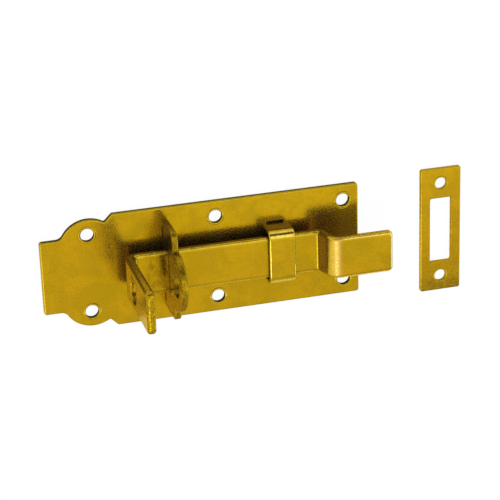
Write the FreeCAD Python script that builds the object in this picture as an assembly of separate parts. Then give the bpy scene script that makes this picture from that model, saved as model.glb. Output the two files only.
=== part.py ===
import FreeCAD, Part
import math
import os

# Cranked padbolt with its padlock staple, guide strap and separate strike plate.
# The base plate lies on its back. The origin is the middle of the plate's back face.
# X runs along the bolt towards the strike plate, Y across the plate, Z away from the door.
# All sizes are in millimetres. The bolt is drawn partly thrown.

V = FreeCAD.Vector

# Base plate
plate_length = 120.0
plate_width = 43.6
plate_sheet = 2.0
plate_front_round = 0.5
plate_corner_round = 1.2

# Shaped left end of the base plate
tongue_width = 28.2
tongue_corner_round = 1.0
lobe_inset = 18.0
lobe_radius = 11.0
lobe_margin = 1.05
lobe_fillet = 3.0
shoulder_inset = 24.0
shoulder_chamfer = 3.0
shoulder_fillet = 0.8

# Screw holes of the base plate
screw_hole_diameter = 5.2
screw_rim_diameter = 6.6
screw_left_inset = 17.5
screw_left_spacing = 30.0
screw_middle_inset = 65.2
screw_right_inset = 6.0
screw_spacing = 31.6

# Bolt bar
bolt_width = 16.0
bolt_bar = 3.2
bolt_lift = 4.8
bolt_edge_round = 1.25
bolt_projection = 7.7
bolt_end_corner_round = 1.8

# Crank between the low and the raised run of the bolt
crank_rise = 9.4
crank_angle = 75.0
crank_inner_round = 0.8
crank_outer_round = 5.3
crank_gap_to_strap = 8.4

# Padlock tab bent up from the bolt's left end
tab_gap_to_staple = 12.9
tab_height = 45.0
tab_bend_outer_round = 5.0
tab_corner_round = 2.0
tab_hole_diameter = 10.4
tab_hole_height = 22.1

# Padlock staple standing across the plate
staple_inset = 45.2
staple_sheet = 2.5
staple_width = 34.0
staple_shoulder_height = 16.6
staple_shoulder_round = 2.5
staple_eye_radius = 10.8
staple_eye_height = 18.6
staple_eye_fillet = 1.0
staple_hole_diameter = 10.0
staple_hole_height = 20.2
staple_eye_offset = -0.6
staple_pressed_round = 0.8
staple_cut_bevel = 0.2
staple_tenon_width = 5.0
staple_tenon_spacing = 24.0

# Guide strap over the bolt
strap_inset = 27.4
strap_width = 9.9
strap_sheet = 1.5
strap_bend_outer_round = 3.3
strap_side_clearance = 1.0
strap_edge_round = 0.6
strap_tenon_width = 6.2

# Strike plate
strike_width = 16.0
strike_height = 49.5
strike_sheet = 1.5
strike_gap = 25.0
strike_drop = 1.6
strike_corner_round = 0.9
strike_front_round = 0.4
strike_slot_width = 8.5
strike_slot_height = 25.8
strike_slot_round = 0.8
strike_hole_diameter = 4.6
strike_rim_diameter = 5.6
strike_hole_spacing = 37.5

# Clearances
window_clearance_side = 0.5
window_clearance_height = 0.3
strap_clearance_height = 0.3
tenon_clearance = 0.1
peen_flare = 0.5
slot_extra_outward = 0.5
hole_edge_bevel = 0.3

# Places worked out from the sizes above
plate_left = -plate_length / 2
plate_right = plate_length / 2
plate_half = plate_width / 2
bolt_back = plate_sheet + bolt_lift
bolt_front = bolt_back + bolt_bar
bolt_half = bolt_width / 2
bolt_end = plate_right + bolt_projection
staple_left = plate_left + staple_inset
staple_right = staple_left + staple_sheet
staple_middle = (staple_left + staple_right) / 2
tab_right = staple_left - tab_gap_to_staple
tab_left = tab_right - bolt_bar
strap_right = plate_right - strap_inset
strap_left = strap_right - strap_width
strap_middle = (strap_left + strap_right) / 2
strap_inner_half = bolt_half + strap_side_clearance
strap_outer_half = strap_inner_half + strap_sheet
strap_under = bolt_front + strap_clearance_height
strap_top = strap_under + strap_sheet
crank_start = strap_right + crank_gap_to_strap
strike_left = plate_right + strike_gap
strike_middle = strike_left + strike_width / 2


def xz(x, z):
    return V(x, 0, z)


def yz(y, z):
    return V(0, y, z)


def arc_about(centre, start, end, angle):
    # Arc from start to end round a centre, passing the middle angle in radians about Y.
    spin = FreeCAD.Rotation(V(0, 1, 0), math.degrees(angle) / 2)
    middle = centre + spin.multVec(start - centre)
    return Part.Arc(start, middle, end).toShape()


def face_neighbours(shape, edge):
    return [f for f in shape.Faces if any(e.isSame(edge) for e in f.Edges)]


def is_sharp(shape, edge, least_angle=15.0):
    # An edge is sharp where its two faces meet at a real angle.
    faces = face_neighbours(shape, edge)
    if len(faces) != 2:
        return False
    first = edge.FirstParameter
    last = edge.LastParameter
    point = edge.valueAt((first + last) / 2)
    normals = []
    for face in faces:
        u, v = face.Surface.parameter(point)
        normals.append(face.normalAt(u, v))
    return math.degrees(normals[0].getAngle(normals[1])) > least_angle


def edges_at(shape, direction, points, reach=0.05):
    # Straight edges along one axis that pass through the given points.
    found = []
    for edge in shape.Edges:
        if edge.Curve.TypeId != "Part::GeomLine":
            continue
        if abs(abs(edge.Curve.Direction.dot(direction)) - 1) > 1e-6:
            continue
        base = edge.Vertexes[0].Point
        for point in points:
            offset = base - point
            across = offset - direction * offset.dot(direction)
            if across.Length < reach:
                found.append(edge)
    return found


def edges_in_plane(shape, axis, level, reach=0.001):
    found = []
    for edge in shape.Edges:
        box = edge.BoundBox
        low = getattr(box, axis + "Min")
        high = getattr(box, axis + "Max")
        if abs(low - level) < reach and abs(high - level) < reach:
            found.append(edge)
    return found


def slab(x0, x1, y0, y1, z0, z1):
    return Part.makeBox(x1 - x0, y1 - y0, z1 - z0, V(x0, y0, z0))


def screw_hole(x, y, through, rim, sheet):
    # Round hole whose front edge is pressed open to a shallow cone.
    depth = (rim - through) / 2
    hole = Part.makeCylinder(through / 2, sheet + 2, V(x, y, -1))
    cone = Part.makeCone(through / 2, rim / 2 + 0.1, depth + 0.1, V(x, y, sheet - depth))
    return hole.fuse(cone)


def flared_block(x0, x1, y0, y1, z_top, flare):
    # Block down to the back face whose last part widens towards that face.
    body = slab(x0, x1, y0, y1, 0, z_top)
    low = Part.makePolygon([V(x0 - flare, y0 - flare, 0), V(x1 + flare, y0 - flare, 0),
                            V(x1 + flare, y1 + flare, 0), V(x0 - flare, y1 + flare, 0),
                            V(x0 - flare, y0 - flare, 0)])
    high = Part.makePolygon([V(x0, y0, flare), V(x1, y0, flare), V(x1, y1, flare),
                             V(x0, y1, flare), V(x0, y0, flare)])
    return body.fuse(Part.makeLoft([low, high], True, True))


def tenon(x0, x1, y0, y1):
    # Tenon hammered over at the back so that it fills the widened mouth of its slot.
    return flared_block(x0, x1, y0, y1, plate_sheet, peen_flare)


def tenon_slot(x0, x1, y0, y1, extra_low=0.0, extra_high=0.0):
    c = tenon_clearance
    slot = flared_block(x0 - c, x1 + c, y0 - c - extra_low, y1 + c + extra_high,
                        plate_sheet + 1, peen_flare)
    return slot


def staple_tenon_places():
    half = staple_tenon_width / 2
    places = []
    for side in (-1, 1):
        y = side * staple_tenon_spacing / 2
        places.append((staple_left, staple_right, y - half, y + half))
    return places


def strap_tenon_places():
    x0 = strap_middle - strap_tenon_width / 2
    x1 = strap_middle + strap_tenon_width / 2
    return [(x0, x1, -strap_outer_half, -strap_inner_half),
            (x0, x1, strap_inner_half, strap_outer_half)]


def plate_blank():
    top = plate_sheet
    shoulder = plate_left + shoulder_inset
    cut = shoulder_chamfer
    outline = [V(plate_right, -plate_half, 0), V(plate_right, plate_half, 0),
               V(shoulder + cut, plate_half, 0), V(shoulder, plate_half - cut, 0),
               V(shoulder, cut - plate_half, 0), V(shoulder + cut, -plate_half, 0)]
    outline.append(outline[0])
    blank = Part.Face(Part.makePolygon(outline)).extrude(V(0, 0, top))
    tongue_half = tongue_width / 2
    blank = blank.fuse(slab(plate_left, shoulder, -tongue_half, tongue_half, 0, top))
    lobe_x = plate_left + lobe_inset
    lobe_y = plate_half - lobe_margin - lobe_radius
    for side in (-1, 1):
        blank = blank.fuse(Part.makeCylinder(lobe_radius, top, V(lobe_x, side * lobe_y, 0)))
    blank = blank.removeSplitter()
    return round_plate_outline(blank, lobe_x, lobe_y, tongue_half, shoulder)


def round_plate_outline(blank, lobe_x, lobe_y, tongue_half, shoulder):
    up = V(0, 0, 1)
    cut = shoulder_chamfer
    joint_x = lobe_x - math.sqrt(lobe_radius ** 2 - (tongue_half - lobe_y) ** 2)
    corner_sets = [
        (lobe_fillet, [V(joint_x, s * tongue_half, 0) for s in (-1, 1)]),
        (tongue_corner_round, [V(plate_left, s * tongue_half, 0) for s in (-1, 1)]),
        (plate_corner_round, [V(plate_right, s * plate_half, 0) for s in (-1, 1)]),
        (shoulder_fillet, [V(shoulder + cut, s * plate_half, 0) for s in (-1, 1)]),
    ]
    for radius, points in corner_sets:
        blank = blank.makeFillet(radius, edges_at(blank, up, points))
    notch = []
    for edge in blank.Edges:
        box = edge.BoundBox
        upright = box.ZLength > plate_sheet / 2 and box.XLength < 0.01
        near = abs(box.XMin - shoulder) < 1.2 and is_sharp(blank, edge)
        if upright and near:
            notch.append(edge)
    return blank.makeFillet(shoulder_fillet, notch)


def screw_places():
    left = plate_left + screw_left_inset
    places = [(left, s * screw_left_spacing / 2) for s in (-1, 1)]
    for x in (plate_left + screw_middle_inset, plate_right - screw_right_inset):
        places += [(x, s * screw_spacing / 2) for s in (-1, 1)]
    return places


def base_plate():
    plate = plate_blank()
    plate = plate.makeFillet(plate_front_round, edges_in_plane(plate, "Z", plate_sheet))
    for x, y in screw_places():
        plate = plate.cut(screw_hole(x, y, screw_hole_diameter, screw_rim_diameter, plate_sheet))
    for place in staple_tenon_places():
        plate = plate.cut(tenon_slot(*place))
    low, high = strap_tenon_places()
    plate = plate.cut(tenon_slot(*low, extra_low=slot_extra_outward))
    plate = plate.cut(tenon_slot(*high, extra_high=slot_extra_outward))
    return plate


def bolt_side_profile():
    # Outline of the bent bar seen from the side, front edge first, then back edge.
    bend = math.radians(90)
    lean = math.radians(crank_angle)
    sin = math.sin(lean)
    cos = math.cos(lean)
    tab_outer = tab_bend_outer_round
    tab_inner = tab_outer - bolt_bar
    first_front = crank_inner_round
    first_back = crank_inner_round + bolt_bar
    second_front = crank_outer_round
    second_back = crank_outer_round - bolt_bar
    slope = (crank_rise - (first_back + second_back) * (1 - cos)) / sin

    tab_centre = xz(tab_left + tab_outer, bolt_back + tab_outer)
    first_centre = xz(crank_start, bolt_front + first_front)
    first_out = xz(sin, -cos)
    slope_run = xz(cos, sin) * slope
    second_centre = first_centre + first_out * (first_back + second_back) + slope_run
    run_end = second_centre.x

    f0 = xz(tab_right, tab_height)
    f1 = tab_centre + xz(-tab_inner, 0)
    f2 = tab_centre + xz(0, -tab_inner)
    f3 = xz(crank_start, bolt_front)
    f4 = first_centre + first_out * first_front
    f5 = second_centre - first_out * second_front
    f6 = xz(run_end, bolt_front + crank_rise)
    f7 = xz(bolt_end, bolt_front + crank_rise)
    b7 = xz(bolt_end, bolt_back + crank_rise)
    b6 = xz(run_end, bolt_back + crank_rise)
    b5 = second_centre - first_out * second_back
    b4 = first_centre + first_out * first_back
    b3 = xz(crank_start, bolt_back)
    b2 = tab_centre + xz(0, -tab_outer)
    b1 = tab_centre + xz(-tab_outer, 0)
    b0 = xz(tab_left, tab_height)
    edges = [Part.makeLine(f0, f1), arc_about(tab_centre, f1, f2, -bend),
             Part.makeLine(f2, f3), arc_about(first_centre, f3, f4, -lean),
             Part.makeLine(f4, f5), arc_about(second_centre, f5, f6, lean),
             Part.makeLine(f6, f7), Part.makeLine(f7, b7), Part.makeLine(b7, b6),
             arc_about(second_centre, b6, b5, -lean), Part.makeLine(b5, b4),
             arc_about(first_centre, b4, b3, lean), Part.makeLine(b3, b2),
             arc_about(tab_centre, b2, b1, bend), Part.makeLine(b1, b0),
             Part.makeLine(b0, f0)]
    return Part.Face(Part.Wire(edges))


def bolt():
    bar = bolt_side_profile().extrude(V(0, bolt_width, 0))
    bar.translate(V(0, -bolt_half, 0))
    sides = (-bolt_half, bolt_half)
    tips = edges_at(bar, V(1, 0, 0), [V(tab_left, y, tab_height) for y in sides])
    bar = bar.makeFillet(tab_corner_round, tips)
    ends = edges_at(bar, V(0, 0, 1), [V(bolt_end, y, 0) for y in sides])
    bar = bar.makeFillet(bolt_end_corner_round, ends)
    bar = bar.makeFillet(bolt_edge_round, [e for e in bar.Edges if is_sharp(bar, e)])
    hole = Part.makeCylinder(tab_hole_diameter / 2, bolt_bar + 2,
                             V(tab_left - 1, 0, tab_hole_height), V(1, 0, 0))
    bar = bar.cut(hole)
    rims = [e for e in bar.Edges if is_hole_rim(e, 0, tab_hole_height, tab_hole_diameter / 2)]
    return bar.makeChamfer(hole_edge_bevel, rims)


def is_hole_rim(edge, y, z, radius):
    # Full circle in a plane across X with the given centre and radius.
    curve = edge.Curve
    if curve.TypeId != "Part::GeomCircle":
        return False
    middle = curve.Center
    placed = abs(middle.y - y) < 0.01 and abs(middle.z - z) < 0.01
    return placed and abs(curve.Radius - radius) < 0.01


def staple_outline():
    # Flat plate with two shoulders and a round eye between them.
    half = staple_width / 2
    eye = Part.makeCylinder(staple_eye_radius, staple_sheet,
                            V(staple_left, staple_eye_offset, staple_eye_height), V(1, 0, 0))
    foot = slab(staple_left, staple_right, -half, half, plate_sheet, staple_shoulder_height)
    plate = foot.fuse(eye).removeSplitter()
    along = V(1, 0, 0)
    shoulders = [V(0, y, staple_shoulder_height) for y in (-half, half)]
    plate = plate.makeFillet(staple_shoulder_round, edges_at(plate, along, shoulders))
    rise = staple_shoulder_height - staple_eye_height
    reach = math.sqrt(staple_eye_radius ** 2 - rise ** 2)
    joints = [V(0, staple_eye_offset + s * reach, staple_shoulder_height) for s in (-1, 1)]
    return plate.makeFillet(staple_eye_fillet, edges_at(plate, along, joints))


def staple_rim(plate, x):
    # Edges of one side of the staple, without those resting on the base plate.
    rim = []
    for edge in edges_in_plane(plate, "X", x):
        on_foot = abs(edge.BoundBox.ZMax - plate_sheet) < 0.01
        if not on_foot and is_sharp(plate, edge):
            rim.append(edge)
    return rim


def padlock_staple():
    plate = staple_outline()
    plate = plate.makeFillet(staple_pressed_round, staple_rim(plate, staple_right))
    plate = plate.makeChamfer(staple_cut_bevel, staple_rim(plate, staple_left))
    side = bolt_half + window_clearance_side
    gap = window_clearance_height
    window = slab(staple_left - 1, staple_right + 1, -side, side, bolt_back - gap, bolt_front + gap)
    window = window.makeFillet(0.5, edges_at(window, V(1, 0, 0),
                               [V(0, y, z) for y in (-side, side)
                                for z in (bolt_back - gap, bolt_front + gap)]))
    hole = Part.makeCylinder(staple_hole_diameter / 2, staple_sheet + 2,
                             V(staple_left - 1, staple_eye_offset, staple_hole_height), V(1, 0, 0))
    plate = plate.cut(window).cut(hole)
    rims = [e for e in plate.Edges
            if is_hole_rim(e, staple_eye_offset, staple_hole_height, staple_hole_diameter / 2)]
    plate = plate.makeChamfer(hole_edge_bevel, rims)
    for place in staple_tenon_places():
        plate = plate.fuse(tenon(*place))
    return plate.removeSplitter()


def strap_section():
    # Bent strip seen along the bolt, outer outline then inner outline.
    outer = strap_bend_outer_round
    inner = outer - strap_sheet
    ow = strap_outer_half
    iw = strap_inner_half
    foot = plate_sheet
    quarter = math.sqrt(0.5)
    ocl = yz(outer - ow, strap_top - outer)
    ocr = yz(ow - outer, strap_top - outer)
    edges = [Part.makeLine(yz(-ow, foot), yz(-ow, ocl.z)),
             Part.Arc(yz(-ow, ocl.z), ocl + yz(-quarter, quarter) * outer,
                      yz(ocl.y, strap_top)).toShape(),
             Part.makeLine(yz(ocl.y, strap_top), yz(ocr.y, strap_top)),
             Part.Arc(yz(ocr.y, strap_top), ocr + yz(quarter, quarter) * outer,
                      yz(ow, ocr.z)).toShape(),
             Part.makeLine(yz(ow, ocr.z), yz(ow, foot)),
             Part.makeLine(yz(ow, foot), yz(iw, foot)),
             Part.makeLine(yz(iw, foot), yz(iw, ocr.z)),
             Part.Arc(yz(iw, ocr.z), ocr + yz(quarter, quarter) * inner,
                      yz(ocr.y, strap_under)).toShape(),
             Part.makeLine(yz(ocr.y, strap_under), yz(ocl.y, strap_under)),
             Part.Arc(yz(ocl.y, strap_under), ocl + yz(-quarter, quarter) * inner,
                      yz(-iw, ocl.z)).toShape(),
             Part.makeLine(yz(-iw, ocl.z), yz(-iw, foot)),
             Part.makeLine(yz(-iw, foot), yz(-ow, foot))]
    return Part.Face(Part.Wire(edges))


def guide_strap():
    strip = strap_section().extrude(V(strap_width, 0, 0))
    strip.translate(V(strap_left, 0, 0))
    outer_edges = []
    for x in (strap_left, strap_right):
        for edge in edges_in_plane(strip, "X", x):
            point = edge.valueAt((edge.FirstParameter + edge.LastParameter) / 2)
            outside = point.z > strap_under + 0.1 or abs(point.y) > strap_outer_half - 0.1
            bend = point.z > strap_top - strap_bend_outer_round and abs(point.y) > strap_inner_half
            above = point.z > plate_sheet + 0.01
            if above and (outside or bend):
                outer_edges.append(edge)
    strip = strip.makeFillet(strap_edge_round, outer_edges)
    for place in strap_tenon_places():
        strip = strip.fuse(tenon(*place))
    return strip.removeSplitter()


def strike_plate():
    half_w = strike_width / 2
    half_h = strike_height / 2
    plate = slab(-half_w, half_w, -half_h, half_h, 0, strike_sheet)
    up = V(0, 0, 1)
    corners = [V(x, y, 0) for x in (-half_w, half_w) for y in (-half_h, half_h)]
    plate = plate.makeFillet(strike_corner_round, edges_at(plate, up, corners))
    plate = plate.makeFillet(strike_front_round, edges_in_plane(plate, "Z", strike_sheet))
    slot_w = strike_slot_width / 2
    slot_h = strike_slot_height / 2
    slot = slab(-slot_w, slot_w, -slot_h, slot_h, -1, strike_sheet + 1)
    corners = [V(x, y, 0) for x in (-slot_w, slot_w) for y in (-slot_h, slot_h)]
    slot = slot.makeFillet(strike_slot_round, edges_at(slot, up, corners))
    plate = plate.cut(slot)
    for side in (-1, 1):
        y = side * strike_hole_spacing / 2
        plate = plate.cut(screw_hole(0, y, strike_hole_diameter, strike_rim_diameter, strike_sheet))
    plate.translate(V(strike_middle, -strike_drop, 0))
    return plate


pieces = {
    "base_plate": base_plate,
    "bolt": bolt,
    "padlock_staple": padlock_staple,
    "guide_strap": guide_strap,
    "strike_plate": strike_plate,
}

os.makedirs("parts", exist_ok=True)
for name, build in pieces.items():
    shape = build()
    if shape.ShapeType != "Solid" and len(shape.Solids) == 1:
        shape = shape.Solids[0]
    shape.exportStep("parts/" + name + ".step")
    box = shape.BoundBox
    print(name, shape.isValid(), len(shape.Solids), round(shape.Volume, 1),
          [round(v, 2) for v in (box.XMin, box.XMax, box.YMin, box.YMax, box.ZMin, box.ZMax)])
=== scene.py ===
"""Looks for a cranked padbolt in yellow passivated zinc, with its strike plate beside it.

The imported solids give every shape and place. This script dresses them in a plated
steel finish, rolls the edges of the punched screw holes, and sets up the floor,
the light and the camera.
"""

import logging
import math
from dataclasses import dataclass, field
from enum import Enum

import bpy
from mathutils import Matrix, Vector


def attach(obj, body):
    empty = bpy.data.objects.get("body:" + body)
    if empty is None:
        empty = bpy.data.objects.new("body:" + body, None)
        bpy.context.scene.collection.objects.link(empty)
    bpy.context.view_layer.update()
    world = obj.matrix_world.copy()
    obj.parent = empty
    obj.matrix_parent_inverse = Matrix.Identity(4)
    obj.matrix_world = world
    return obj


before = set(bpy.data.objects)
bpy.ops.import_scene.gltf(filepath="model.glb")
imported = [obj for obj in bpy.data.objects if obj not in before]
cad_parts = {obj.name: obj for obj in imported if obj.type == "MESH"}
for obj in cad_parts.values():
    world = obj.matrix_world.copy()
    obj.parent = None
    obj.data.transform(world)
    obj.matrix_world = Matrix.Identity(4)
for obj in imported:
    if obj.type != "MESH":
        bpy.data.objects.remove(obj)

LOG = logging.getLogger("padbolt")
MM = 0.001
WHITE = (1.0, 1.0, 1.0)
DEEP_LIGHT = (0.38, 0.54, 0.90)
# Height of the sheets of painted shade under the plate.
SHADE_SHEET_LEVEL = -0.03 * MM

Colour = tuple[float, float, float]
Socket = bpy.types.NodeSocket


class Grain(Enum):
    """Direction in which the strip of a piece was rolled, as a stretch of the pattern."""

    ALONG_X = (0.07, 1.0, 1.0)
    ALONG_Y = (1.0, 0.07, 1.0)
    ALONG_Z = (1.0, 1.0, 0.07)


class CutFaces(Enum):
    """Faces of a piece that the shears or the punch left: axis to compare, and if along it."""

    SHEET_FLAT_ON_BACK = ("Z", False)
    SHEET_ACROSS_BOLT = ("X", False)
    STRIP_OVER_BOLT = ("X", True)
    DRAWN_BAR = ("Y", True)


class Bench:
    """Puts nodes into one shader tree and joins them with short calls."""

    def __init__(self, tree: bpy.types.NodeTree) -> None:
        """Start on a tree.

        Args:
            tree: Shader or world tree that gets the nodes.
        """
        self.tree = tree

    def add(self, kind: str, **settings: object) -> bpy.types.Node:
        """Make one node.

        Args:
            kind: Blender's name of the node type.
            **settings: Properties to set on it.

        Returns:
            The new node.
        """
        node = self.tree.nodes.new(kind)
        for name, value in settings.items():
            setattr(node, name, value)
        return node

    def feed(self, target: Socket, value: object) -> None:
        """Join a socket to another one, or set its value.

        Args:
            target: Input socket.
            value: Output socket to join, or a plain value.
        """
        if isinstance(value, bpy.types.NodeSocket):
            self.tree.links.new(value, target)
        else:
            target.default_value = value

    def math(self, operation: str, first: object, second: object = 0.0) -> Socket:
        """Combine two numbers.

        Args:
            operation: Name of the operation, such as MULTIPLY.
            first: Socket or number.
            second: Socket or number.

        Returns:
            Socket with the result.
        """
        node = self.add("ShaderNodeMath", operation=operation)
        self.feed(node.inputs[0], first)
        self.feed(node.inputs[1], second)
        return node.outputs[0]

    def span(self, value: Socket, start: float, end: float,
             low: float | Socket, high: float | Socket) -> Socket:
        """Map a number from one span to another, smoothly and held at the ends.

        Args:
            value: Number to map.
            start: Value that becomes low.
            end: Value that becomes high.
            low: Result at start.
            high: Result at end.

        Returns:
            Socket with the mapped number.
        """
        node = self.add("ShaderNodeMapRange", interpolation_type="SMOOTHSTEP")
        for name, number in (("Value", value), ("From Min", start), ("From Max", end),
                             ("To Min", low), ("To Max", high)):
            self.feed(node.inputs[name], number)
        return node.outputs["Result"]

    def lessened(self, mask: Socket, least: float | Socket) -> Socket:
        """Turn a mask into a factor.

        Args:
            mask: Number from 0 to 1.
            least: Factor where the mask is 1.

        Returns:
            Socket that is 1 where the mask is 0, and least where it is 1.
        """
        return self.span(mask, 0.0, 1.0, 1.0, least)

    def noise(self, place: Socket, size: float, detail: float = 2.0, warp: float = 0.0) -> Socket:
        """Make soft noise whose features are of a given size.

        Args:
            place: Coordinates in metres.
            size: Size of a feature in metres.
            detail: Octaves of finer noise.
            warp: Distortion of the pattern.

        Returns:
            Socket with values round one half.
        """
        node = self.add("ShaderNodeTexNoise")
        self.feed(node.inputs["Vector"], place)
        self.feed(node.inputs["Scale"], 1.0 / size)
        self.feed(node.inputs["Detail"], detail)
        self.feed(node.inputs["Distortion"], warp)
        return node.outputs["Fac"]

    def stretched(self, place: Socket, stretch: tuple[float, float, float],
                  shift: tuple[float, float, float] = (0.0, 0.0, 0.0)) -> Socket:
        """Scale and shift coordinates.

        Args:
            place: Coordinates in metres.
            stretch: Factor for each axis; a small one draws the pattern out.
            shift: Offset in metres.

        Returns:
            Socket with the new coordinates.
        """
        node = self.add("ShaderNodeMapping")
        self.feed(node.inputs["Vector"], place)
        self.feed(node.inputs["Scale"], stretch)
        self.feed(node.inputs["Location"], shift)
        return node.outputs["Vector"]

    def blend(self, factor: Socket, first: object, second: object) -> Socket:
        """Blend two colours.

        Args:
            factor: Share of the second colour.
            first: Socket or colour.
            second: Socket or colour.

        Returns:
            Socket with the blended colour.
        """
        node = self.add("ShaderNodeMix", data_type="RGBA")
        self.feed(node.inputs["Factor"], factor)
        for name, colour in (("A", first), ("B", second)):
            socket = next(s for s in node.inputs if s.name == name and s.type == "RGBA")
            self.feed(socket, colour if isinstance(colour, bpy.types.NodeSocket)
                      else (*colour, 1.0))
        return next(s for s in node.outputs if s.type == "RGBA")

    def beyond_second_surface(self) -> Socket:
        """Tell light that reaches the first surface from light that reaches a second one.

        Returns:
            Socket that is 0 for the first surface and 1 for those behind it.
        """
        path = self.add("ShaderNodeLightPath").outputs
        traced = self.math("MAXIMUM", path["Is Glossy Ray"], path["Is Diffuse Ray"])
        surface = self.math("SUBTRACT", path["Ray Depth"], traced)
        return BEYOND_FIRST.of(self, surface)

    def dimmed(self, colour: Socket, factor: Socket) -> Socket:
        """Multiply a colour by a number.

        Args:
            colour: Colour to change.
            factor: Number to multiply by.

        Returns:
            Socket with the new colour.
        """
        node = self.add("ShaderNodeVectorMath", operation="SCALE")
        self.feed(node.inputs[0], colour)
        self.feed(node.inputs["Scale"], factor)
        return node.outputs["Vector"]


@dataclass(frozen=True)
class Ramp:
    """Smooth map of a number from one span to another, held at the ends."""

    start: float
    end: float
    low: float
    high: float

    def of(self, bench: Bench, value: Socket) -> Socket:
        """Map a number.

        Args:
            bench: Tree to build in.
            value: Number to map.

        Returns:
            Socket with the mapped number.
        """
        return bench.span(value, self.start, self.end, self.low, self.high)


# From 0 at the first surface that light path nodes count to 1 at the second.
BEYOND_FIRST = Ramp(1.1, 1.9, 0.0, 1.0)


@dataclass(frozen=True)
class Band:
    """Stretch of a piece between two levels of one axis, in metres."""

    axis: str
    low: float
    high: float
    soft: float

    def mask(self, bench: Bench, spot: Socket) -> Socket:
        """Mark the stretch.

        Args:
            bench: Tree to build in.
            spot: Coordinates in metres.

        Returns:
            Socket that is 1 in the stretch and fades out over the soft width.
        """
        split = bench.add("ShaderNodeSeparateXYZ")
        bench.feed(split.inputs[0], spot)
        level = split.outputs[self.axis]
        rise = bench.span(level, self.low - self.soft, self.low, 0.0, 1.0)
        fall = bench.span(level, self.high, self.high + self.soft, 1.0, 0.0)
        return bench.math("MULTIPLY", rise, fall)


@dataclass(frozen=True)
class WearAndHighlight:
    """How the way a face leans decides where edges are worn bright and carry painted highlight,
    and where it was cut.
    """

    # The first three ramps set how much painted highlight an edge gets from the way it leans.
    top_highlight: Ramp = Ramp(0.36, 0.64, 0.12, 1.0)
    upper_highlight: Ramp = Ramp(-0.20, -0.02, 0.22, 1.0)
    under_highlight: Ramp = Ramp(-0.48, -0.32, 1.0, 0.22)
    cut_edge_share: float = 0.15
    dull_edge_share: float = 0.12
    cut_along: Ramp = Ramp(0.75, 0.92, 0.0, 1.0)
    cut_across: Ramp = Ramp(0.12, 0.30, 1.0, 0.0)


@dataclass(frozen=True)
class Shades:
    """How noise turns into the passivation's colours, darker blotches and painted shadow in gaps.
    """

    olive_share: Ramp = Ramp(0.38, 0.62, 0.0, 1.0)
    amber_share: Ramp = Ramp(0.50, 0.72, 0.0, 0.75)
    worn_size: float = 0.9 * MM
    worn: Ramp = Ramp(0.30, 0.60, 0.45, 0.90)
    mottle: Ramp = Ramp(0.25, 0.75, 0.97, 1.03)
    lines: Ramp = Ramp(0.30, 0.70, 0.985, 1.015)
    blotch_size: float = 1.6 * MM
    blotch: Ramp = Ramp(0.32, 0.66, 0.64, 0.92)
    # Factor of the painted shadow in a gap.
    seam: float = 0.10
    torn_size: float = 0.60 * MM
    torn: Ramp = Ramp(0.36, 0.58, 0.48, 1.02)


@dataclass(frozen=True)
class Film:
    """Roughness of the passivation film and its changes, its bloom and its clear coat."""

    broad: Ramp = Ramp(0.3, 0.7, -0.02, 0.02)
    medium: Ramp = Ramp(0.3, 0.7, -0.02, 0.02)
    fine: Ramp = Ramp(0.3, 0.7, -0.10, 0.10)
    cut: float = 0.07
    under_edge: Ramp = Ramp(-0.26, -0.08, 0.42, 0.0)
    mirror_level: float = 0.0
    rim_tint: Colour = (1.0, 0.80, 0.30)
    bloom: float = 0.011
    bloom_tint: Colour = (0.40, 0.70, 1.0)
    bloom_roughness: float = 1.0
    coat: float = 0.02
    coat_roughness: float = 0.20
    coat_ior: float = 1.5


@dataclass(frozen=True)
class Relief:
    """Sizes and depths of the bumps, in metres."""

    wave_size: float = 7.0 * MM
    wave_depth: float = 0.020 * MM
    ripple_size: float = 1.4 * MM
    ripple_depth: float = 0.008 * MM
    streak_depth: float = 0.0012 * MM
    speck_depth: float = 0.0210 * MM
    shear_size: float = 0.16 * MM
    shear_stretch: float = 0.12
    shear_depth: float = 0.010 * MM
    tear_size: float = 0.55 * MM
    tear_depth: float = 0.060 * MM
    dent_size: float = 1.1 * MM
    dent_depth: float = 0.25 * MM
    dent_fade: float = 1.6


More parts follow.
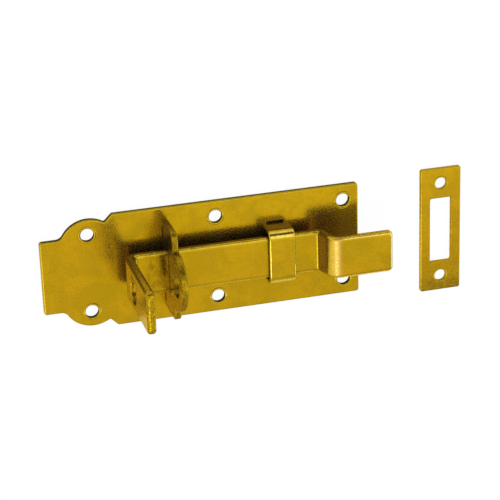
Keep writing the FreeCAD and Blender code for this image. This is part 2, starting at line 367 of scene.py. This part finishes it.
@dataclass(frozen=True)
class YellowZinc:
    """Zinc plate with yellow passivation: mottled gold, edges worn bright with painted highlight,
    and bands that add painted highlight, painted shadow and darker blotches.
    """

    name: str
    grain: Grain
    cut_faces: CutFaces
    shift: float = 0.0
    gold: Colour = (0.500, 0.286, 0.0008)
    olive: Colour = (0.422, 0.251, 0.0009)
    amber: Colour = (0.458, 0.238, 0.0009)
    # Colour of the edges: worn-bright zinc with painted highlight.
    polish_highlight: Colour = (0.640, 0.430, 0.0300)
    cloud_size: float = 9.0 * MM
    patch_size: float = 2.4 * MM
    grain_size: float = 0.50 * MM
    streak_size: float = 0.30 * MM
    edge_turn: tuple[float, float] = (0.025, 0.085)
    edge_softness: float = 0.35 * MM
    edge_gloss: float = -0.05
    roughness: float = 0.17
    metallic: float = 0.970
    peened_below: float = 0.0
    # Colour and bands of a painted highlight on the crank's crest.
    crest_highlight: Colour = (0.640, 0.370, 0.0600)
    crest_highlight_bands: tuple[Band, ...] = ()
    sheared: tuple[Band, ...] = ()
    dull: tuple[Band, ...] = ()
    # Bands darkened in blotches; painted shade where the bolt passes the staple.
    darker_bands: tuple[Band, ...] = ()
    # Bands that meet where the gap at the staple's window gets painted shadow.
    seam: tuple[Band, ...] = ()
    # Bands whose edges get a brighter painted highlight, and that highlight's colour.
    bright_edge_bands: tuple[Band, ...] = ()
    bright_edge_colour: Colour = (0.98, 0.70, 0.120)
    wear_and_highlight: WearAndHighlight = WearAndHighlight()
    shades: Shades = Shades()
    film: Film = Film()
    relief: Relief = Relief()

    def make(self) -> bpy.types.Material:
        """Build the finish.

        Returns:
            The new material.
        """
        material = bpy.data.materials.new(self.name)
        material.use_nodes = True
        tree = material.node_tree
        tree.nodes.clear()
        bench = Bench(tree)
        spot = bench.add("ShaderNodeTexCoord").outputs["Object"]
        place = bench.stretched(spot, (1.0, 1.0, 1.0),
                                (self.shift, self.shift * 0.7, self.shift * 0.3))
        clouds = bench.noise(place, self.cloud_size, 3.0, 0.6)
        patches = bench.noise(place, self.patch_size, 3.0, 0.4)
        specks = bench.noise(place, self.grain_size, 2.0)
        streaks = bench.noise(bench.stretched(place, self.grain.value), self.streak_size, 2.0)
        cut = self.cut_mask(bench)
        for band in self.sheared:
            cut = bench.math("MAXIMUM", cut, band.mask(bench, spot))
        edge = bench.math("MULTIPLY", self.edge_mask(bench),
                          bench.lessened(cut, self.wear_and_highlight.cut_edge_share))
        # Dull bands get less of the bright edge colour and its painted highlight.
        for band in self.dull:
            dull_factor = bench.lessened(band.mask(bench, spot), self.wear_and_highlight.dull_edge_share)
            edge = bench.math("MULTIPLY", edge, dull_factor)

        shader = bench.add("ShaderNodeBsdfPrincipled")
        bench.feed(shader.inputs["Base Color"],
                   self.colour(bench, spot, place, clouds, patches, specks, streaks, edge, cut))
        bench.feed(shader.inputs["Roughness"],
                   self.gloss(bench, clouds, patches, specks, edge, cut))
        bench.feed(shader.inputs["Normal"], self.surface(bench, spot, place, specks, streaks, cut))
        for name, number in (("Metallic", self.metallic),
                             ("Specular IOR Level", self.film.mirror_level),
                             ("Specular Tint", (*self.film.rim_tint, 1.0)),
                             ("Sheen Weight", self.film.bloom),
                             ("Sheen Roughness", self.film.bloom_roughness),
                             ("Sheen Tint", (*self.film.bloom_tint, 1.0)),
                             ("Coat Weight", self.film.coat),
                             ("Coat Roughness", self.film.coat_roughness),
                             ("Coat IOR", self.film.coat_ior)):
            shader.inputs[name].default_value = number
        output = bench.add("ShaderNodeOutputMaterial")
        bench.feed(output.inputs["Surface"], shader.outputs["BSDF"])
        return material

    @staticmethod
    def overlap(bench: Bench, spot: Socket, bands: tuple[Band, ...]) -> Socket:
        """Mark where all the stretches meet.

        Args:
            bench: Tree to build in.
            spot: Coordinates in metres.
            bands: Stretches, at least one.

        Returns:
            Socket that is 1 where every stretch holds.
        """
        shared = bands[0].mask(bench, spot)
        for band in bands[1:]:
            shared = bench.math("MULTIPLY", shared, band.mask(bench, spot))
        return shared

    @staticmethod
    def leaning(bench: Bench) -> bpy.types.NodeOutputs:
        """Split the surface's direction into how far it faces along each axis.

        Args:
            bench: Tree to build in.

        Returns:
            Sockets by axis letter, from -1 to 1.
        """
        split = bench.add("ShaderNodeSeparateXYZ")
        bench.feed(split.inputs[0], bench.add("ShaderNodeTexCoord").outputs["Normal"])
        return split.outputs

    def edge_mask(self, bench: Bench) -> Socket:
        """Find the rounded edges and bends that are worn bright and carry painted highlight, set
        by which way they lean, less where lower edges begin.

        Args:
            bench: Tree to build in.

        Returns:
            Socket that is 1 on edges and bends and 0 on open faces.
        """
        facing = self.leaning(bench)
        most = bench.math("ABSOLUTE", facing["X"])
        for letter in "YZ":
            most = bench.math("MAXIMUM", most, bench.math("ABSOLUTE", facing[letter]))
        start, full = self.edge_turn
        turned = bench.span(bench.math("SUBTRACT", 1.0, most), start, full, 0.0, 1.0)
        upper = self.wear_and_highlight.upper_highlight.of(bench, facing["Y"])
        under = self.wear_and_highlight.under_highlight.of(bench, facing["Y"])
        turned = bench.math("MULTIPLY", turned, self.wear_and_highlight.top_highlight.of(bench, facing["Z"]))
        return bench.math("MULTIPLY", turned, bench.math("MAXIMUM", upper, under))

    def cut_mask(self, bench: Bench) -> Socket:
        """Find the faces that the shears or the punch left.

        Args:
            bench: Tree to build in.

        Returns:
            Socket that is 1 on cut faces.
        """
        axis, along = self.cut_faces.value
        share = bench.math("ABSOLUTE", self.leaning(bench)[axis])
        ramp = self.wear_and_highlight.cut_along if along else self.wear_and_highlight.cut_across
        return ramp.of(bench, share)

    def colour(self, bench: Bench, spot: Socket, place: Socket, clouds: Socket, patches: Socket,
               specks: Socket, streaks: Socket, edge: Socket, cut: Socket) -> Socket:
        """Mix the passivation's shades, with painted highlight on edges and in bands, and painted
        shade in bands.

        Args:
            bench: Tree to build in.
            spot: Coordinates in metres, without shift.
            place: Shifted coordinates in metres.
            clouds: Broad noise.
            patches: Medium noise.
            specks: Fine noise.
            streaks: Noise drawn out along the rolling direction.
            edge: Mask of the edges worn bright with painted highlight.
            cut: Mask of the cut faces.

        Returns:
            Socket with the colour.
        """
        looks = self.shades
        colour = bench.blend(looks.olive_share.of(bench, clouds), self.gold, self.olive)
        colour = bench.blend(looks.amber_share.of(bench, patches), colour, self.amber)
        worn = looks.worn.of(bench, bench.noise(place, looks.worn_size, 2.0))
        edge_tint = self.polish_highlight
        # Brighter painted highlight on edges inside the bright bands.
        if self.bright_edge_bands:
            edge_tint = bench.blend(self.overlap(bench, spot, self.bright_edge_bands), edge_tint,
                                 self.bright_edge_colour)
        # Edges take the bright edge colour: worn zinc with painted highlight.
        colour = bench.blend(bench.math("MULTIPLY", edge, worn), colour, edge_tint)
        # Painted highlight on the crank's crest.
        if self.crest_highlight_bands:
            colour = bench.blend(self.overlap(bench, spot, self.crest_highlight_bands), colour,
                                 self.crest_highlight)
        shade = bench.math("MULTIPLY", looks.mottle.of(bench, specks),
                           looks.lines.of(bench, streaks))
        # Darken in blotches inside each band: painted shade on the bolt beside the staple.
        for band in self.darker_bands:
            blotch = looks.blotch.of(bench, bench.noise(place, looks.blotch_size, 3.0, 0.8))
            darkening = bench.lessened(band.mask(bench, spot), blotch)
            shade = bench.math("MULTIPLY", shade, darkening)
        # Painted shadow in the gap where the bands meet.
        if self.seam:
            gap_shade = bench.lessened(self.overlap(bench, spot, self.seam), looks.seam)
            shade = bench.math("MULTIPLY", shade, gap_shade)
        torn = looks.torn.of(bench, bench.noise(place, looks.torn_size, 2.0, 0.5))
        bare = bench.math("SUBTRACT", 1.0, cut)
        dull = bench.math("ADD", bare, bench.math("MULTIPLY", cut, torn))
        return bench.dimmed(colour, bench.math("MULTIPLY", shade, dull))

    def gloss(self, bench: Bench, clouds: Socket, patches: Socket, specks: Socket,
              edge: Socket, cut: Socket) -> Socket:
        """Vary the roughness.

        Args:
            bench: Tree to build in.
            clouds: Broad noise.
            patches: Medium noise.
            specks: Fine noise.
            edge: Mask of the edges worn bright with painted highlight.
            cut: Mask of the cut faces.

        Returns:
            Socket with the roughness.
        """
        under = self.film.under_edge.of(bench, self.leaning(bench)["Y"])
        rough = self.film.broad.of(bench, clouds)
        for change in (self.film.medium.of(bench, patches), self.film.fine.of(bench, specks),
                       self.roughness, bench.math("MULTIPLY", cut, self.film.cut), under,
                       bench.math("MULTIPLY", edge, self.edge_gloss)):
            rough = bench.math("ADD", rough, change)
        return rough

    def surface(self, bench: Bench, spot: Socket, place: Socket, specks: Socket,
                streaks: Socket, cut: Socket) -> Socket:
        """Raise the plated grain, the strip's waviness, shear marks and hammer marks.

        Args:
            bench: Tree to build in.
            spot: Coordinates in metres, without shift.
            place: Shifted coordinates in metres.
            specks: Fine noise.
            streaks: Noise drawn out along the rolling direction.
            cut: Mask of the cut faces.

        Returns:
            Socket with the bumped normal.
        """
        form = self.relief
        bevel = bench.add("ShaderNodeBevel", samples=8)
        bevel.inputs["Radius"].default_value = self.edge_softness
        axis = self.cut_faces.value[0]
        drawn = tuple(form.shear_stretch if letter == axis else 1.0 for letter in "XYZ")
        shear = bench.noise(bench.stretched(place, drawn), form.shear_size, 2.0)
        tears = bench.noise(place, form.tear_size, 2.0, 0.8)
        normal = bevel.outputs["Normal"]
        for height, depth in ((bench.noise(place, form.wave_size, 1.0), form.wave_depth),
                              (bench.noise(place, form.ripple_size, 2.0, 0.5), form.ripple_depth),
                              (streaks, form.streak_depth),
                              (specks, form.speck_depth),
                              (bench.math("MULTIPLY", shear, cut), form.shear_depth),
                              (bench.math("MULTIPLY", tears, cut), form.tear_depth)):
            normal = self.bump(bench, height, depth, normal)
        if self.peened_below > 0.0:
            normal = self.hammered(bench, spot, normal)
        return normal

    def hammered(self, bench: Bench, spot: Socket, normal: Socket) -> Socket:
        """Dent the tenon ends that were hammered over behind the plate.

        Args:
            bench: Tree to build in.
            spot: Coordinates in metres.
            normal: Normal so far.

        Returns:
            Socket with the dented normal.
        """
        split = bench.add("ShaderNodeSeparateXYZ")
        bench.feed(split.inputs[0], spot)
        mask = bench.span(split.outputs["Z"], self.peened_below,
                          self.peened_below * self.relief.dent_fade, 1.0, 0.0)
        cells = bench.add("ShaderNodeTexVoronoi", feature="SMOOTH_F1")
        bench.feed(cells.inputs["Vector"], spot)
        bench.feed(cells.inputs["Scale"], 1.0 / self.relief.dent_size)
        dents = bench.math("MULTIPLY", cells.outputs["Distance"], mask)
        return self.bump(bench, dents, self.relief.dent_depth, normal)

    @staticmethod
    def bump(bench: Bench, height: Socket, depth: float, normal: Socket) -> Socket:
        """Add one layer of bump.

        Args:
            bench: Tree to build in.
            height: Height from 0 to 1.
            depth: Real height in metres.
            normal: Normal below this layer.

        Returns:
            Socket with the new normal.
        """
        node = bench.add("ShaderNodeBump")
        node.inputs["Strength"].default_value = 1.0
        node.inputs["Distance"].default_value = depth
        bench.feed(node.inputs["Height"], height)
        bench.feed(node.inputs["Normal"], normal)
        return node.outputs["Normal"]


@dataclass
class HoleRims:
    """Rolled front edges of punched screw holes, one ring at each hole."""

    name: str
    centres: tuple[tuple[float, float], ...]
    face_height: float
    hole_radius: float
    rim_radius: float
    body: str
    lip: float = 0.15 * MM
    wander: float = 0.03 * MM
    wander_size: float = 1.3 * MM
    seed: int = 7
    ring_steps: int = 64
    section_steps: int = 16

    def tree(self) -> tuple[bpy.types.NodeTree, dict[str, str]]:
        """Build the node tree that puts a ring on each hole.

        Returns:
            The tree, and the identifier of each named input.
        """
        tree = bpy.data.node_groups.new(self.name, "GeometryNodeTree")
        sockets = {}
        kinds = (("Hole Centres", "NodeSocketGeometry"), ("Ring Radius", "NodeSocketFloat"),
                 ("Section Radius", "NodeSocketFloat"), ("Wander", "NodeSocketFloat"),
                 ("Seed", "NodeSocketInt"), ("Finish", "NodeSocketMaterial"))
        for label, kind in kinds:
            item = tree.interface.new_socket(label, in_out="INPUT", socket_type=kind)
            sockets[label] = item.identifier
        tree.interface.new_socket("Rims", in_out="OUTPUT", socket_type="NodeSocketGeometry")
        bench = Bench(tree)
        given = bench.add("NodeGroupInput").outputs
        ring = bench.add("GeometryNodeCurvePrimitiveCircle")
        bench.feed(ring.inputs["Resolution"], self.ring_steps)
        bench.feed(ring.inputs["Radius"], given["Ring Radius"])
        section = bench.add("GeometryNodeCurvePrimitiveCircle")
        bench.feed(section.inputs["Resolution"], self.section_steps)
        bench.feed(section.inputs["Radius"], given["Section Radius"])
        sweep = bench.add("GeometryNodeCurveToMesh")
        bench.feed(sweep.inputs["Curve"], ring.outputs["Curve"])
        bench.feed(sweep.inputs["Profile Curve"], section.outputs["Curve"])
        turn = bench.add("FunctionNodeRandomValue", data_type="FLOAT_VECTOR")
        bench.feed(turn.inputs[0], (0.0, 0.0, 0.0))
        bench.feed(turn.inputs[1], (0.0, 0.0, 2.0 * math.pi))
        bench.feed(turn.inputs["Seed"], given["Seed"])
        place = bench.add("GeometryNodeInstanceOnPoints")
        bench.feed(place.inputs["Points"], given["Hole Centres"])
        bench.feed(place.inputs["Instance"], sweep.outputs["Mesh"])
        bench.feed(place.inputs["Rotation"], turn.outputs["Value"])
        whole = bench.add("GeometryNodeRealizeInstances")
        bench.feed(whole.inputs["Geometry"], place.outputs["Instances"])
        self.finish_tree(bench, given, whole.outputs["Geometry"])
        return tree, sockets

    def finish_tree(self, bench: Bench, given: bpy.types.NodeOutputs, rings: Socket) -> None:
        """Roughen the rings a little, smooth their shading and give them their finish.

        Args:
            bench: Tree to build in.
            given: Named inputs of the tree.
            rings: Plain rings.
        """
        noise = bench.add("ShaderNodeTexNoise")
        bench.feed(noise.inputs["Vector"], bench.add("GeometryNodeInputPosition").outputs[0])
        bench.feed(noise.inputs["Scale"], 1.0 / self.wander_size)
        centred = bench.math("SUBTRACT", noise.outputs["Fac"], 0.5)
        height = bench.math("MULTIPLY", centred, given["Wander"])
        offset = bench.add("ShaderNodeCombineXYZ")
        bench.feed(offset.inputs["Z"], height)
        moved = bench.add("GeometryNodeSetPosition")
        bench.feed(moved.inputs["Geometry"], rings)
        bench.feed(moved.inputs["Offset"], offset.outputs[0])
        smooth = bench.add("GeometryNodeSetShadeSmooth")
        bench.feed(smooth.inputs["Geometry"], moved.outputs["Geometry"])
        painted = bench.add("GeometryNodeSetMaterial")
        bench.feed(painted.inputs["Geometry"], smooth.outputs["Geometry"])
        bench.feed(painted.inputs["Material"], given["Finish"])
        result = bench.add("NodeGroupOutput")
        bench.feed(result.inputs["Rims"], painted.outputs["Geometry"])

    def build(self, finish: bpy.types.Material) -> bpy.types.Object:
        """Make the rings as one plain mesh that rides on their body.

        Args:
            finish: Material of the rings.

        Returns:
            The finished object.
        """
        section = (self.rim_radius - self.hole_radius) / 2
        ring = (self.rim_radius + self.hole_radius) / 2
        level = self.face_height + self.lip - section
        points = bpy.data.meshes.new(self.name + "_centres")
        points.from_pydata([(x, y, level) for x, y in self.centres], [], [])
        draft = bpy.data.objects.new(self.name + "_draft", points)
        bpy.context.scene.collection.objects.link(draft)
        tree, sockets = self.tree()
        modifier = draft.modifiers.new("rims", "NODES")
        modifier.node_group = tree
        for label, value in (("Ring Radius", ring), ("Section Radius", section),
                             ("Wander", self.wander), ("Seed", self.seed), ("Finish", finish)):
            modifier[sockets[label]] = value
        bpy.context.view_layer.update()
        graph = bpy.context.evaluated_depsgraph_get()
        mesh = bpy.data.meshes.new_from_object(draft.evaluated_get(graph))
        mesh.name = self.name
        bpy.data.objects.remove(draft)
        bpy.data.meshes.remove(points)
        rims = bpy.data.objects.new(self.name, mesh)
        bpy.context.scene.collection.objects.link(rims)
        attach(rims, self.body)
        return rims


@dataclass
class SolidPiece:
    """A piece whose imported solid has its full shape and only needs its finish."""

    node: str
    finish: YellowZinc

    def dress(self, nodes: dict[str, bpy.types.Object]) -> list[bpy.types.Object]:
        """Give the solid its finish.

        Args:
            nodes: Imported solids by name.

        Returns:
            The dressed objects.
        """
        solid = nodes[self.node]
        material = self.finish.make()
        if not solid.material_slots:
            solid.data.materials.append(material)
        for place in solid.material_slots:
            place.material = material
        return [solid, *self.extras(material)]

    def extras(self, material: bpy.types.Material) -> list[bpy.types.Object]:
        """Make what the solid lacks; nothing unless a piece says so."""
        return []


@dataclass
class BasePlate(SolidPiece):
    """Shaped base plate with six punched screw holes."""

    node: str = "base_plate"
    finish: YellowZinc = field(default_factory=lambda: YellowZinc(
        "zinc_rolled_plate", Grain.ALONG_X, CutFaces.SHEET_FLAT_ON_BACK, roughness=0.20))
    sheet: float = 2.0 * MM
    hole_radius: float = 2.45 * MM
    rim_radius: float = 3.40 * MM
    left_row: float = -42.5 * MM
    left_half_spacing: float = 15.0 * MM
    right_rows: tuple[float, float] = (5.2 * MM, 54.0 * MM)
    right_half_spacing: float = 15.8 * MM

    def hole_centres(self) -> tuple[tuple[float, float], ...]:
        """Give the centres of the six screw holes.

        Returns:
            Pairs of X and Y in metres.
        """
        centres = [(self.left_row, side * self.left_half_spacing) for side in (-1, 1)]
        for row in self.right_rows:
            centres += [(row, side * self.right_half_spacing) for side in (-1, 1)]
        return tuple(centres)

    def extras(self, material: bpy.types.Material) -> list[bpy.types.Object]:
        """Roll the front edges of the screw holes.

        Args:
            material: Finish of the plate.

        Returns:
            The rings.
        """
        rims = HoleRims("plate_hole_rims", self.hole_centres(), self.sheet,
                        self.hole_radius, self.rim_radius, "plate")
        return [rims.build(material)]


@dataclass
class SlidingBolt(SolidPiece):
    """Cranked bar that slides, with its padlock tab."""

    node: str = "bolt"
    finish: YellowZinc = field(default_factory=lambda: YellowZinc(
        "zinc_drawn_bar", Grain.ALONG_X, CutFaces.DRAWN_BAR, shift=0.31,
        polish_highlight=(0.76, 0.52, 0.040),
        edge_turn=(0.010, 0.070), edge_softness=0.9 * MM, edge_gloss=0.17,
        # Brighter painted highlight on the raised run's edges.
        bright_edge_bands=(Band("Z", 17.5 * MM, 22.5 * MM, 1.5 * MM),
                 Band("X", 50.0 * MM, 70.0 * MM, 2.5 * MM)),
        dull=(Band("X", -33.0 * MM, -27.6 * MM, 0.5 * MM),
              Band("X", 40.2 * MM, 42.2 * MM, 0.6 * MM)),
        # Painted shade, in blotches, on the bolt beside the staple.
        darker_bands=(Band("X", -21.0 * MM, -15.0 * MM, 5.0 * MM),),
        # Painted highlight on the crank's crest.
        crest_highlight_bands=(Band("X", 45.6 * MM, 46.8 * MM, 1.6 * MM),
                Band("Z", 18.6 * MM, 20.0 * MM, 1.0 * MM)),
        sheared=(Band("Z", 43.9 * MM, 46.0 * MM, 0.4 * MM),
                 Band("X", 67.4 * MM, 69.0 * MM, 0.4 * MM))))


@dataclass
class PadlockStaple(SolidPiece):
    """Upright staple that the bolt passes through."""

    node: str = "padlock_staple"
    finish: YellowZinc = field(default_factory=lambda: YellowZinc(
        "zinc_punched_staple", Grain.ALONG_Z, CutFaces.SHEET_ACROSS_BOLT, shift=0.57,
        roughness=0.28, polish_highlight=(0.53, 0.33, 0.010),
        dull=(Band("X", -17.0 * MM, -10.0 * MM, 0.5 * MM),),
        # The staple darker all over, in blotches.
        darker_bands=(Band("X", -17.0 * MM, -10.0 * MM, 0.5 * MM),),
        # Painted shadow in the gap above the bolt at the staple's window.
        seam=(Band("Z", 9.4 * MM, 10.45 * MM, 0.25 * MM),
              Band("Y", -8.3 * MM, 8.3 * MM, 0.3 * MM)),
        peened_below=0.5 * MM))


@dataclass
class GuideStrap(SolidPiece):
    """Bent strap that keeps the bolt down."""

    node: str = "guide_strap"
    finish: YellowZinc = field(default_factory=lambda: YellowZinc(
        "zinc_bent_strip", Grain.ALONG_Y, CutFaces.STRIP_OVER_BOLT, shift=0.83,
        polish_highlight=(0.90, 0.64, 0.080), edge_turn=(0.008, 0.050), edge_softness=0.65 * MM,
        peened_below=0.5 * MM))


@dataclass
class StrikePlate(SolidPiece):
    """Loose slotted plate that takes the thrown bolt, with two screw holes."""

    node: str = "strike_plate"
    finish: YellowZinc = field(default_factory=lambda: YellowZinc(
        "zinc_strike_strip", Grain.ALONG_Y, CutFaces.SHEET_FLAT_ON_BACK, shift=1.13,
        gold=(0.505, 0.283, 0.0008), olive=(0.440, 0.250, 0.0009), amber=(0.465, 0.230, 0.0009),
        # Darker, in blotches, towards the strike plate's lower end.
        darker_bands=(Band("Y", -28.0 * MM, -24.0 * MM, 5.0 * MM),)))
    sheet: float = 1.5 * MM
    hole_radius: float = 2.25 * MM
    rim_radius: float = 2.85 * MM
    middle: tuple[float, float] = (93.0 * MM, -1.6 * MM)
    half_spacing: float = 18.75 * MM

    def extras(self, material: bpy.types.Material) -> list[bpy.types.Object]:
        """Roll the front edges of the two screw holes.

        Args:
            material: Finish of the strike plate.

        Returns:
            The rings.
        """
        x, y = self.middle
        centres = tuple((x, y + side * self.half_spacing) for side in (-1, 1))
        rims = HoleRims("strike_hole_rims", centres, self.sheet, self.hole_radius,
                        self.rim_radius, "plate", lip=0.12 * MM, seed=11)
        return [rims.build(material)]


@dataclass(frozen=True)
class SoftLamp:
    """Round lamp with a soft front, aimed at the object."""

    name: str
    direction: tuple[float, float, float]
    spread_degrees: float
    radiance: float
    distance: float = 1.1
    deep: Colour = DEEP_LIGHT

    def hang(self) -> bpy.types.Object:
        """Hang the lamp so that it fills its spread of the sky.

        Returns:
            The lamp.
        """
        radius = self.distance * math.tan(math.radians(self.spread_degrees))
        light = bpy.data.lights.new(self.name, "AREA")
        light.shape = "DISK"
        light.size = 2.0 * radius
        light.energy = 4.0 * self.radiance * math.pi * radius ** 2
        light.use_nodes = True
        bench = Bench(light.node_tree)
        front = next(n for n in light.node_tree.nodes if n.type == "EMISSION")
        bench.feed(front.inputs["Color"],
                   bench.blend(bench.beyond_second_surface(), WHITE, self.deep))
        lamp = bpy.data.objects.new(self.name, light)
        direction = Vector(self.direction).normalized()
        lamp.location = direction * self.distance
        lamp.rotation_mode = "QUATERNION"
        lamp.rotation_quaternion = (-direction).to_track_quat("-Z", "Y")
        bpy.context.scene.collection.objects.link(lamp)
        return lamp


@dataclass(frozen=True)
class DarkCard:
    """Dark card that only shows in reflections."""

    name: str
    corners: tuple[tuple[float, float, float], ...]
    shade: float = 0.10

    @classmethod
    def upright(cls, name: str, x: tuple[float, float], y: float, z: tuple[float, float],
                shade: float = 0.10) -> "DarkCard":
        """Make a card that stands across the Y axis.

        Args:
            name: Name of the card.
            x: Ends along X.
            y: Place along Y.
            z: Lower and upper edge.
            shade: Grey of the card.

        Returns:
            The card.
        """
        return cls(name, ((x[0], y, z[0]), (x[1], y, z[0]),
                          (x[1], y, z[1]), (x[0], y, z[1])), shade)

    @classmethod
    def level(cls, name: str, x: tuple[float, float], y: tuple[float, float], z: float,
              shade: float = 0.10) -> "DarkCard":
        """Make a card that lies level.

        Args:
            name: Name of the card.
            x: Ends along X.
            y: Ends along Y.
            z: Height.
            shade: Grey of the card.

        Returns:
            The card.
        """
        return cls(name, ((x[0], y[0], z), (x[1], y[0], z),
                          (x[1], y[1], z), (x[0], y[1], z)), shade)

    def hang(self) -> bpy.types.Object:
        """Hang the card.

        Returns:
            The card.
        """
        mesh = bpy.data.meshes.new(self.name)
        mesh.from_pydata(list(self.corners), [], [(0, 1, 2, 3)])
        card = bpy.data.objects.new(self.name, mesh)
        bpy.context.scene.collection.objects.link(card)
        material = bpy.data.materials.new(self.name)
        material.use_nodes = True
        shader = material.node_tree.nodes["Principled BSDF"]
        shader.inputs["Base Color"].default_value = (self.shade,) * 3 + (1.0,)
        shader.inputs["Roughness"].default_value = 1.0
        mesh.materials.append(material)
        card.visible_camera = False
        card.visible_diffuse = False
        card.visible_shadow = False
        card.visible_transmission = False
        return card


@dataclass
class Studio:
    """Pale floor, white surroundings, soft lamps, dark cards, and sheets of painted shade under
    and behind the plate.
    """

    floor_size: float = 6.0
    floor_level: float = -0.05 * MM
    floor_colour: Colour = (0.90, 0.90, 0.895)
    floor_glow: float = 0.93
    ambient: float = 0.88
    lamps: tuple[SoftLamp, ...] = (
        SoftLamp("soft_box", (0.34, 0.12, 1.0), 27.0, 0.90, deep=(0.22, 0.32, 0.62)),
        SoftLamp("window", (-0.36, -0.38, 0.85), 13.0, 0.80, deep=(0.56, 0.74, 1.0)),
        SoftLamp("near_window", (-0.118, -0.130, 0.250), 5.0, 5.8, distance=0.305,
                 deep=(0.50, 0.68, 1.0)),
        SoftLamp("left_window", (-0.65, -0.38, 0.65), 20.0, 0.45),
        SoftLamp("right_window", (0.80, -0.38, 0.45), 24.0, 1.00),
    )
    cards: tuple[DarkCard, ...] = (
        DarkCard.upright("dark_card", (-1.2, 1.6), 1.0, (0.36, 1.20)),
        DarkCard.upright("front_card", (-0.9, 1.6), -1.0, (0.10, 1.20), shade=0.80),
        DarkCard.level("corner_card", (0.47, 1.6), (-1.6, -0.50), 1.0),
        # Sheets of painted shade under and behind the plate, seen only in reflections.
        DarkCard.level("shade_sheet_under_plate", (-0.0595, 0.0595), (-0.0200, 0.0217), SHADE_SHEET_LEVEL,
                       shade=0.40),
        DarkCard.level("shade_sheet_behind_plate", (-0.0595, 0.0595), (0.0217, 0.0235), SHADE_SHEET_LEVEL,
                       shade=0.90),
    )

    def build(self) -> None:
        """Set up everything around the object."""
        self.lay_floor()
        self.light_world()
        for lamp in self.lamps:
            lamp.hang()
        for card in self.cards:
            card.hang()

    def lay_floor(self) -> None:
        """Lay the floor under the object."""
        half = self.floor_size / 2
        mesh = bpy.data.meshes.new("floor")
        level = self.floor_level
        mesh.from_pydata([(-half, -half, level), (half, -half, level),
                          (half, half, level), (-half, half, level)], [], [(0, 1, 2, 3)])
        floor = bpy.data.objects.new("floor", mesh)
        bpy.context.scene.collection.objects.link(floor)
        mesh.materials.append(self.paper())

    def paper(self) -> bpy.types.Material:
        """Make the floor's paper: mostly plain white to look at, with a faint shadow.

        Returns:
            The new material.
        """
        material = bpy.data.materials.new("floor_paper")
        material.use_nodes = True
        tree = material.node_tree
        tree.nodes.clear()
        bench = Bench(tree)
        lit = bench.add("ShaderNodeBsdfDiffuse")
        bench.feed(lit.inputs["Color"], (*self.floor_colour, 1.0))
        depth = bench.add("ShaderNodeLightPath").outputs["Ray Depth"]
        glow = bench.add("ShaderNodeEmission")
        bench.feed(glow.inputs["Color"],
                   bench.blend(BEYOND_FIRST.of(bench, depth), WHITE, DEEP_LIGHT))
        mixed = bench.add("ShaderNodeMixShader")
        bench.feed(mixed.inputs[0], bench.math("MULTIPLY", self.looked_at(bench), self.floor_glow))
        bench.feed(mixed.inputs[1], lit.outputs[0])
        bench.feed(mixed.inputs[2], glow.outputs[0])
        output = bench.add("ShaderNodeOutputMaterial")
        bench.feed(output.inputs["Surface"], mixed.outputs[0])
        return material

    @staticmethod
    def looked_at(bench: Bench) -> Socket:
        """Tell rays that show the background from rays that only light the object.

        Args:
            bench: Tree to build in.

        Returns:
            Socket that is 1 for camera, glossy and transmission rays.
        """
        path = bench.add("ShaderNodeLightPath").outputs
        return bench.math("MAXIMUM", path["Is Camera Ray"],
                          bench.math("MAXIMUM", path["Is Glossy Ray"],
                                     path["Is Transmission Ray"]))

    def light_world(self) -> None:
        """Make the surroundings white to look at, with a softer level of light from them."""
        world = bpy.data.worlds.new("white_room")
        world.use_nodes = True
        bpy.context.scene.world = world
        tree = world.node_tree
        tree.nodes.clear()
        bench = Bench(tree)
        level = bench.span(self.looked_at(bench), 0.0, 1.0, self.ambient, 1.0)
        back = bench.add("ShaderNodeBackground")
        bench.feed(back.inputs["Color"],
                   bench.blend(bench.beyond_second_surface(), WHITE, DEEP_LIGHT))
        bench.feed(back.inputs["Strength"], level)
        output = bench.add("ShaderNodeOutputWorld")
        bench.feed(output.inputs["Surface"], back.outputs["Background"])


@dataclass
class PhotoCamera:
    """Camera at the photograph's angle, in metres."""

    position: tuple[float, float, float] = (-0.149730, 0.269129, 0.631544)
    aim: tuple[float, float, float] = (0.018345, -0.000041, 0.0)
    upright: tuple[float, float, float] = (0.130583, 0.924114, -0.359113)
    lens: float = 137.289
    sensor: float = 36.0

    def build(self) -> bpy.types.Object:
        """Make the camera and use it for the scene.

        Returns:
            The camera.
        """
        data = bpy.data.cameras.new("photo_camera")
        data.lens = self.lens
        data.sensor_width = self.sensor
        data.clip_start = 0.01
        data.clip_end = 20.0
        camera = bpy.data.objects.new("photo_camera", data)
        back = (Vector(self.position) - Vector(self.aim)).normalized()
        right = Vector(self.upright).cross(back).normalized()
        up = back.cross(right)
        turn = Matrix((right, up, back)).transposed()
        camera.matrix_world = Matrix.Translation(self.position) @ turn.to_4x4()
        bpy.context.scene.collection.objects.link(camera)
        bpy.context.scene.camera = camera
        return camera


def corners(box: tuple[Vector, Vector]) -> list[list[float]]:
    """Write a box as plain lists.

    Args:
        box: Lowest and highest corner.

    Returns:
        The same corners as lists of numbers.
    """
    return [[float(number) for number in corner] for corner in box]


def main() -> None:
    """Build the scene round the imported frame."""
    logging.basicConfig(level=logging.INFO, format="%(name)s: %(message)s")
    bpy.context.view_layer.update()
    bpy.context.scene.view_settings.view_transform = "Standard"
    PhotoCamera().build()
    Studio().build()
    for piece in (BasePlate(), SlidingBolt(), PadlockStaple(), GuideStrap(), StrikePlate()):
        for made in piece.dress(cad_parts):
            LOG.info("%s: %d faces", made.name, len(made.data.polygons))
    bpy.context.view_layer.update()


if __name__ == "__main__":
    main()
